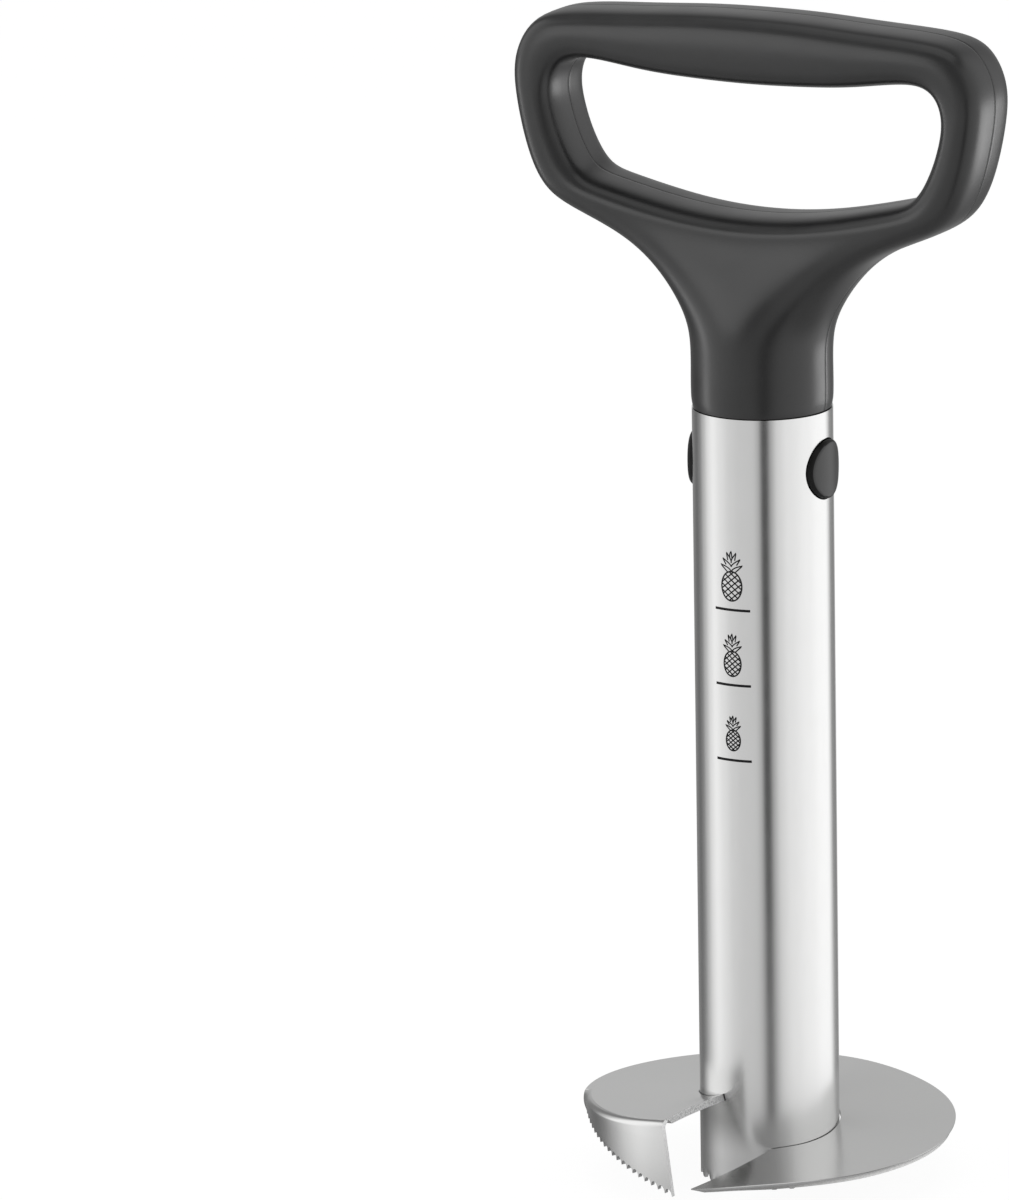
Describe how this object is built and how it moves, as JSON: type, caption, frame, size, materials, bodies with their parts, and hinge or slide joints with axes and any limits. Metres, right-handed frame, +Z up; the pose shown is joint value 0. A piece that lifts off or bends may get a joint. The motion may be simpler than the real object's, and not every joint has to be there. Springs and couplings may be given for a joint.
{
  "type": "pineapple slicer",
  "caption": "Hand-cranked fruit corer with a helical slicing blade, a toothed coring tube and a D-shaped handle that latches on with push buttons.",
  "frame": {"origin": "on the tube's axis, level with the tips of the tube's teeth, which is the lowest point of the object", "axes": "+Z up along the tube to the handle, X along the handle's width and the buttons' travel, -Y towards the front where the depth marks are"},
  "size_m": [0.1214, 0.088, 0.2794],
  "materials": {
    "tube_steel": "polished along the tube",
    "blade_steel": "rolled sheet, soft satin",
    "handle_plastic": "soft matte moulding",
    "latch_plastic": "plain moulding",
    "button_plastic": "smooth moulding",
    "spring_steel": "drawn wire"
  },
  "bodies": {
    "slicer": {"cutter_tube": "tube_steel", "slicing_blade": "blade_steel", "handle_front_shell": "handle_plastic", "handle_rear_shell": "handle_plastic", "latch_core": "latch_plastic", "latch_cap": "latch_plastic", "button_spring_left": "spring_steel", "button_spring_right": "spring_steel"},
    "left_button": {"release_button_left": "button_plastic"},
    "right_button": {"release_button_right": "button_plastic"}
  },
  "joints": [
    {"name": "left_button_press", "type": "slide", "parent": "slicer", "child": "left_button", "axis": [1, 0, 0], "range_m": [0, 0.003], "stiffness_N_per_m": 450, "springref_m": -0.002, "deforming": ["button_spring_left"]},
    {"name": "right_button_press", "type": "slide", "parent": "slicer", "child": "right_button", "axis": [-1, 0, 0], "range_m": [0, 0.003], "stiffness_N_per_m": 450, "springref_m": -0.002, "deforming": ["button_spring_right"]}
  ]
}
